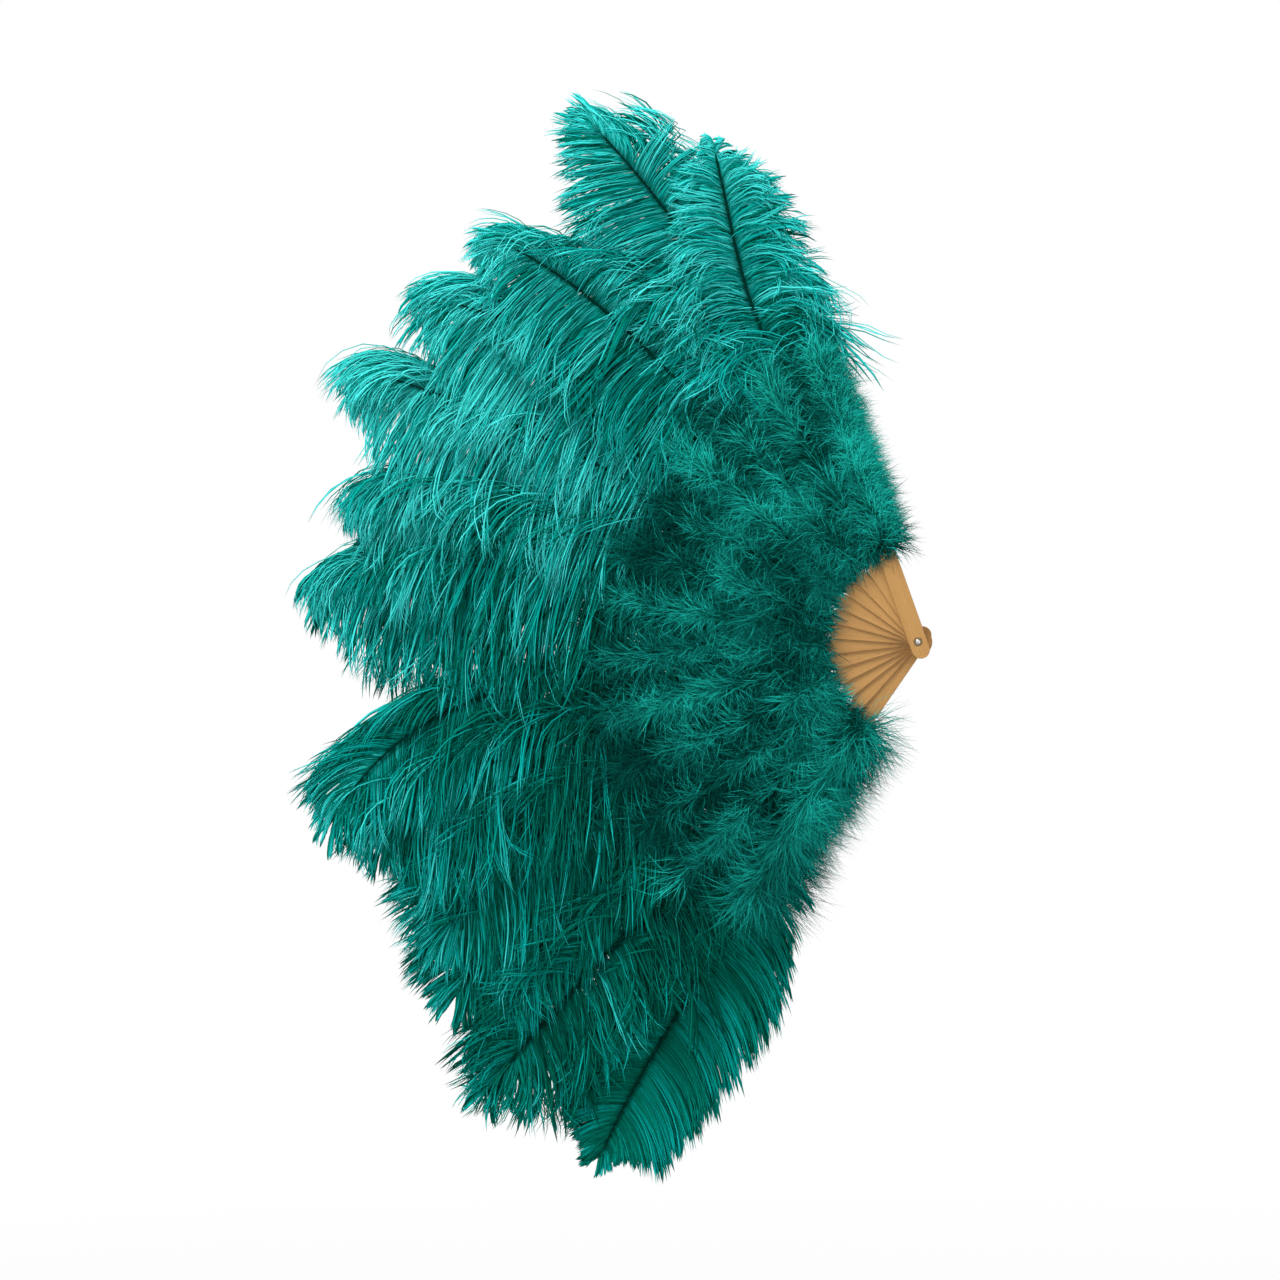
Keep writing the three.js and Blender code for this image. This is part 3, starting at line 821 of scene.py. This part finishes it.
def marabou_arrays(stave, settings, random):
    """A stave's down: small tufts along its rib, in front and behind, each a brush of strands that spreads
    round the tuft's own direction, bends with the tuft and falls a little. Tufts that lie sideways lie
    flatter, so that each stave has a rounded ridge, and they are darker, as painted shade in the valleys
    between the ridges; some stand up towards the front. Some dark tufts lie flat below the others, as painted
    shade in the gaps between them. At the foot the tufts spread all round, from half a pitch on both sides of
    the rib. On the two outer staves most tufts are puffs that stand out past the end of the fan; on the first
    stave they are lighter, as painted light on that edge of the fan. The down is darker further out."""
    points = 3
    golden = 0.618
    half_pitch = radians(5)
    outward = {0: 1, STAVES - 1: -1}.get(stave.number, 0)
    tufts = settings.tufts * (3 if outward else 2)
    strands = settings.strands

    # The kinds of tufts and their places along the rib
    row = np.arange(tufts)
    share = ((row + random.uniform(0, 1, tufts)) / tufts) ** 1.1
    face = np.where(row % 2, 1.0, -1.0)
    aside = 2 * ((row // 2 * golden + random.uniform(0, 1)) % 1) - 1
    puffs = (row // 2 % 3 > 0) & (outward != 0)
    # Under tufts lie flat below the others and are dark, as painted shade in the gaps between them
    under = (row % 4 == 3) & ~puffs
    standing = (row % 10 == 4) & (share > 0.3)
    spill = share < 0.11
    share = np.where(under, 1.12 * share, share)
    longer = 0.028 * np.clip(stave.number / 3 - 2, 0, 1) * (outward == 0)
    radius = stave.foot + 0.004 + (stave.down_reach - 0.032 + longer - stave.foot) * share

    # Their tilts to the back, sizes, shades and directions from the rib
    tilt = face * (0.15 + 0.60 * (1 - np.abs(aside))) * random.uniform(0.6, 1.15, tufts)
    tilt = np.where(under, 0.05 * face, np.where(standing, -0.95, tilt))
    size = random.uniform(0.7, 1.2, tufts) * (0.7 + 0.3 * np.clip(share / 0.25, 0, 1))
    size = size * (1 - 0.2 * np.abs(aside))
    size = np.where(standing, 0.9, np.where(under, 1.3, size))
    # Tufts that lie sideways are darker, as painted shade in the valleys between the ridges
    shade = 0.44 - 0.26 * np.abs(aside) + drift(share, 0.24, 9, random) + random.normal(0, 0.24, tufts)
    shade = shade + 0.07 - 0.28 * share + 0.25 * standing
    inner_side = np.sign(aside) if outward == 0 else -outward
    sideways = inner_side * (radians(60) + np.abs(aside) * radians(35))
    swing = np.where(under, sideways, aside * radians(80))
    swing = np.where(spill, pi * (aside + np.sign(aside)) / 2, swing)
    size = np.where(spill, 0.56, size)
    puff_size = np.where(outward > 0, 0.95, 1.45 + 0.65 * share)
    size = np.where(puffs, random.uniform(0.6, 0.85, tufts) * puff_size, size)
    swing = np.where(puffs, outward * np.abs(aside) * radians(95), swing)
    # On the first stave the puffs are lighter, as painted light on that edge of the fan
    puff_shade_and_edge_light = np.where(outward > 0, 0.45, 0.25 - 0.5 * share)
    # The under tufts' fixed dark shade is painted shade
    shade = np.where(under, 0.14, shade + puffs * puff_shade_and_edge_light)

    # How their strands spread, shift, fall and bend
    fuzz = np.where(spill | standing, radians(50), np.where(under, radians(32), radians(26)))
    off_rib = np.where(spill, random.uniform(-half_pitch, half_pitch, tufts), 0)
    droop = random.uniform(0.05, 0.28, tufts) + 0.25 * (stave.number / STAVES) ** 2
    bend = np.where(standing, radians(80), radians(40)) * random.normal(0, 1, tufts)
    width = np.where(under, 3.0, 1)

    def spread(values, amount):
        """One value for each strand: its tuft's value and a change of its own."""
        return np.repeat(values, strands) + random.normal(0, 1, values.size * strands) * amount

    count = tufts * strands
    angle = stave.angle + spread(off_rib, radians(0.6))
    reach = np.maximum(spread(radius, 0.009), stave.foot)
    depth = stave.depth + np.repeat(face, strands) * random.uniform(0.5, 3, count) / 1000
    roots = np.stack((-reach * np.cos(angle), depth, reach * np.sin(angle)), axis=-1)
    along = (np.arange(points - 1) + 0.5) / (points - 1)
    start = stave.angle + spread(swing, np.repeat(fuzz, strands))
    angles = falling(start[:, None], np.clip(spread(droop, 0.05), 0, 1)[:, None] * along)
    angles = angles + spread(bend, radians(34))[:, None] * along
    tilts = spread(tilt, 0.16)[:, None] * (1.15 - 0.6 * along) + random.normal(0, 0.08, (count, points - 1))
    lengths = random.uniform(0.5, 1.05, count)
    lengths = np.where(np.repeat(puffs, strands), 0.6 + 0.4 * lengths, lengths)
    lengths = settings.length * np.repeat(size, strands) * lengths
    grown = grow(roots, angles, np.clip(tilts, -0.95, 0.95), lengths)
    grown = within_depth(grown, MARABOU_MARGIN)
    taper = np.array((0.8, 1.0, 0.0))
    thickness = settings.radius * np.repeat(width, strands) * random.uniform(0.6, 1.2, count)
    shades = np.clip(spread(shade, 0.09), 0.08, 0.98)
    return tubes(grown, thickness[:, None] * taper, shades, flat=0.6)


# Ribbon


def ribbon_corners(node, angle):
    """The four corners of a ribbon's middle surface, by end and by edge, and its thickness."""
    points = points_of(node)
    along = -points[:, 0] * cos(angle) + points[:, 2] * sin(angle)
    across = -points[:, 0] * sin(angle) - points[:, 2] * cos(angle)
    outer = along > (along.min() + along.max()) / 2
    corners = [
        [points[(across * end > 0) & (outer == edge)].mean(axis=0) for edge in (False, True)]
        for end in (-1, 1)
    ]
    near = points[across < 0]
    return np.array(corners), near[:, 1].max() - near[:, 1].min()


def ribbon_arrays(corners, thickness):
    """A closed strip: a grid between four corners, mixed along and across, with faces front and back that
    meet round the rim. It bows a little, by half a sine wave along it times a whole one across it."""
    columns, rows = 13, 7
    bow_height = 0.0004
    along = np.linspace(0, 1, columns)[:, None, None]
    across = np.linspace(0, 1, rows)[None, :, None]
    ends = corners[:, 0] * (1 - across[..., None]) + corners[:, 1] * across[..., None]
    middle = ends[..., 0, :] * (1 - along) + ends[..., 1, :] * along
    bow = bow_height * np.sin(pi * along) * np.sin(2 * pi * across)
    half = np.array((0, thickness / 2, 0))
    bowed = middle + np.array((0, 1, 0)) * bow
    front, back = bowed - half, bowed + half
    sheet = np.arange(columns * rows).reshape(columns, rows)
    low, high = sheet[:-1, :-1].ravel(), sheet[1:, 1:].ravel()
    left, right = sheet[:-1, 1:].ravel(), sheet[1:, :-1].ravel()
    face = np.concatenate((np.stack((low, right, high), -1), np.stack((low, high, left), -1)))
    rim = np.concatenate((sheet[:, 0], sheet[-1, 1:], sheet[-2::-1, -1], sheet[0, -2:0:-1]))
    after = np.roll(rim, -1)
    size = columns * rows
    sides = (np.stack((rim, rim + size, after + size), -1), np.stack((rim, after + size, after), -1))
    triangles = np.concatenate((face, face[:, ::-1] + size, *sides))
    width = np.linalg.norm(corners[0, 1] - corners[0, 0])
    length = np.linalg.norm(corners[1].mean(axis=0) - corners[0].mean(axis=0))
    grid = np.broadcast_to(np.concatenate((along * length, along * 0), -1), (columns, rows, 2))
    grid = grid + np.concatenate((across * 0, across * width), -1)
    front_places = RIBBON_MAP_SCALE * grid.reshape(-1, 2)
    back_places = front_places + 0.01
    all_corners = np.concatenate((front.reshape(-1, 3), back.reshape(-1, 3)))
    return all_corners, triangles, np.concatenate((front_places, back_places))


# Stage


def area_lamp(name, place, aim, size, power):
    """A square soft lamp that faces a point."""
    light = bpy.data.lights.new(name, "AREA")
    light.size = size
    light.energy = power
    lamp = bpy.data.objects.new(name, light)
    lamp.location = place
    lamp.rotation_euler = (Vector(aim) - Vector(place)).to_track_quat("-Z", "Y").to_euler()
    bpy.context.scene.collection.objects.link(lamp)


def seen_directly(finish):
    """1 where the camera, a mirror or glass looks straight at a surface, and 0 for light that it sends on."""
    rays = ("Is Camera Ray", "Is Glossy Ray", "Is Transmission Ray")
    camera, mirror, glass = (finish.node("ShaderNodeLightPath", output=name) for name in rays)
    return finish.math("MAXIMUM", finish.math("MAXIMUM", camera, mirror), glass)


def floor_material():
    """Pale floor that takes a soft shadow near the middle and fades into white."""
    material = bpy.data.materials.new("floor")
    finish = Finish(material)
    reach = {"Value": finish.distance(finish.place()), "From Min": 1.0, "From Max": 3.5, "To Min": 0.7}
    fade = finish.node("ShaderNodeMapRange", None, reach)
    grain = finish.noise(finish.place(), 3.0)
    grey = finish.mix(grain, (0.82, 0.82, 0.82, 1), (0.86, 0.86, 0.86, 1))
    matt = finish.node("ShaderNodeBsdfDiffuse", None, {"Color": grey})
    white = finish.node("ShaderNodeEmission", None, {"Strength": 1.0})
    shader = finish.node("ShaderNodeMixShader", None, {0: seen_directly(finish) * fade, 1: matt, 2: white})
    finish.node("ShaderNodeOutputMaterial", None, {"Surface": shader})
    return material


def sky_nodes(world, strength):
    """A grey sky that lights from all round, and shows as white."""
    finish = Finish(world)
    grey = finish.node("ShaderNodeBackground", None, {"Color": WHITE, "Strength": strength})
    white = finish.node("ShaderNodeBackground", None, {"Color": WHITE, "Strength": 1.0})
    shader = finish.node("ShaderNodeMixShader", None, {0: seen_directly(finish), 1: grey, 2: white})
    finish.node("ShaderNodeOutputWorld", None, {"Surface": shader})


# Operators


class FAN_OT_bamboo(bpy.types.Operator):
    """Finishes the guards and sticks as split bamboo"""

    bl_idname = "fan.bamboo"
    bl_label = "Finish bamboo"

    def execute(self, context):
        settings = context.scene.fan.bamboo
        for number in range(STAVES):
            stave = read_stave(number)
            node = frame["nodes"][stave.node]
            node.data.materials.clear()
            node.data.materials.append(bamboo_material(f"bamboo_{stave.node}", settings, stave.angle))
        return {"FINISHED"}


class FAN_OT_pivot(bpy.types.Operator):
    """Finishes the rivet and its washers as metal"""

    bl_idname = "fan.pivot"
    bl_label = "Finish pivot"

    def execute(self, context):
        settings = context.scene.fan.pivot
        rivet = metal_material("rivet_metal", settings.rivet_colour, *RIVET_ROUGHNESS_AND_RIM)
        washer = metal_material("washer_metal", settings.washer_colour, *WASHER_ROUGHNESS_AND_RIM)
        for name, material in (("pivot_rivet", rivet), ("front_washer", washer), ("rear_washer", washer)):
            materials = frame["nodes"][name].data.materials
            materials.clear()
            materials.append(material)
        return {"FINISHED"}


class FAN_OT_plumes(bpy.types.Operator):
    """Grows the plumes, barb by barb"""

    bl_idname = "fan.plumes"
    bl_label = "Grow plumes"

    def execute(self, context):
        settings = context.scene.fan.plumes
        stops = (
            (0.03, settings.shaft_colour),
            (0.07, settings.deep_colour),
            (0.32, settings.low_colour),
            (0.56, settings.middle_colour),
            (1.0, settings.light_colour),
        )
        # The barbs get painted shade near their roots and a painted highlight at their tips
        material = strand_material("plume_barbs", stops, settings.deep_colour, root_shade_share=0.55, painted_tip_highlight=0.35)
        for number, style in enumerate(PLUME_STYLES):
            stave = read_stave(number)
            random = np.random.default_rng(PLUME_SEED + number)
            arrays = plume_arrays(stave, style, settings, random)
            piece = mesh_piece(f"plume_barbs_{number + 1:02d}", *arrays, material)
            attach(piece, stave.body)
            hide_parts(f"plume_{number + 1:02d}")
            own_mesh(piece)
        return {"FINISHED"}


class FAN_OT_marabou(bpy.types.Operator):
    """Grows the marabou down round the foot of the plumes"""

    bl_idname = "fan.marabou"
    bl_label = "Grow marabou"

    def execute(self, context):
        settings = context.scene.fan.marabou
        stops = ((0.0, settings.deep_colour), (1.0, settings.light_colour))
        # The down gets painted shade near its roots and a painted highlight at its tips
        material = strand_material("marabou_down", stops, settings.deep_colour, root_shade_share=0.85, painted_tip_highlight=0.25)
        for number in range(STAVES):
            stave = read_stave(number)
            random = np.random.default_rng(MARABOU_SEED + number)
            arrays = marabou_arrays(stave, settings, random)
            piece = mesh_piece(f"marabou_down_{number + 1:02d}", *arrays, material)
            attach(piece, stave.body)
            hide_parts(f"marabou_{number + 1:02d}")
            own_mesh(piece)
        return {"FINISHED"}


class FAN_OT_ribbon(bpy.types.Operator):
    """Weaves the ribbon's spans from stave to stave"""

    bl_idname = "fan.ribbon"
    bl_label = "Weave ribbon"

    def execute(self, context):
        material = ribbon_material("ribbon_cloth", context.scene.fan.ribbon)
        for number in range(STAVES - 1):
            stave, following = read_stave(number), read_stave(number + 1)
            label = f"{number + 1:02d}"
            corners, thickness = ribbon_corners(f"ribbon_{label}", (stave.angle + following.angle) / 2)
            piece = mesh_piece(f"ribbon_cloth_{label}", *ribbon_arrays(corners, thickness), material)
            spans = np.linalg.norm(corners[1] - corners[0], axis=-1)
            width = np.linalg.norm(corners[0, 1] - corners[0, 0])
            own_end = corners[0].mean(axis=0)
            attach(piece, stave.body)
            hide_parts(f"ribbon_{label}")
            pull = corners[1].mean(axis=0) - own_end
            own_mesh(piece)
        return {"FINISHED"}


class FAN_OT_stage(bpy.types.Operator):
    """Sets up the floor, the sky, the lamps and the camera"""

    bl_idname = "fan.stage"
    bl_label = "Set stage"

    def execute(self, context):
        settings = context.scene.fan.stage
        scene = context.scene
        aim = Vector(settings.aim)
        turn = 2 * pi * np.arange(FLOOR_SIDES) / FLOOR_SIDES
        heights = np.full(FLOOR_SIDES, settings.floor_height)
        rim = np.stack((FLOOR_RADIUS * np.cos(turn), FLOOR_RADIUS * np.sin(turn), heights), axis=-1)
        mesh = bpy.data.meshes.new("floor")
        mesh.from_pydata(rim.tolist(), [], [list(range(FLOOR_SIDES))])
        mesh.materials.append(floor_material())
        floor = bpy.data.objects.new("floor", mesh)
        scene.collection.objects.link(floor)

        scene.world = bpy.data.worlds.new("sky")
        sky_nodes(scene.world, settings.sky)
        for name, (place, size) in LAMPS.items():
            area_lamp(name, place, aim, size, getattr(settings, name))

        lens = bpy.data.cameras.new("camera")
        lens.sensor_width = SENSOR_WIDTH
        lens.lens = settings.lens
        camera = bpy.data.objects.new("camera", lens)
        back = Vector((sin(settings.azimuth), -cos(settings.azimuth), 0))
        camera.location = aim + back * settings.distance
        camera.rotation_euler = (-back).to_track_quat("-Z", "Y").to_euler()
        scene.collection.objects.link(camera)
        scene.camera = camera
        scene.view_settings.view_transform = "Standard"
        return {"FINISHED"}


class FAN_PT_panel(bpy.types.Panel):
    """The fan's operators and settings"""

    bl_label = "Feather fan"
    bl_idname = "FAN_PT_panel"
    bl_space_type = "VIEW_3D"
    bl_region_type = "UI"
    bl_category = "Feather fan"

    def draw(self, context):
        for name in ("bamboo", "pivot", "plumes", "marabou", "ribbon", "stage"):
            box = self.layout.box()
            box.operator(f"fan.{name}")
            settings = getattr(context.scene.fan, name)
            for setting in settings.__annotations__:
                box.prop(settings, setting)


CLASSES = (
    PlumeSettings,
    MarabouSettings,
    BambooSettings,
    PivotSettings,
    RibbonSettings,
    StageSettings,
    FanSettings,
    FAN_OT_bamboo,
    FAN_OT_pivot,
    FAN_OT_plumes,
    FAN_OT_marabou,
    FAN_OT_ribbon,
    FAN_OT_stage,
    FAN_PT_panel,
)


def register():
    for kind in CLASSES:
        bpy.utils.register_class(kind)
    bpy.types.Scene.fan = bpy.props.PointerProperty(type=FanSettings)


def unregister():
    del bpy.types.Scene.fan
    for kind in reversed(CLASSES):
        bpy.utils.unregister_class(kind)


def main():
    """Makes every piece in order."""
    register()
    bpy.ops.fan.bamboo()
    bpy.ops.fan.pivot()
    bpy.ops.fan.plumes()
    bpy.ops.fan.marabou()
    bpy.ops.fan.ribbon()
    bpy.ops.fan.stage()


if __name__ == "__main__":
    main()
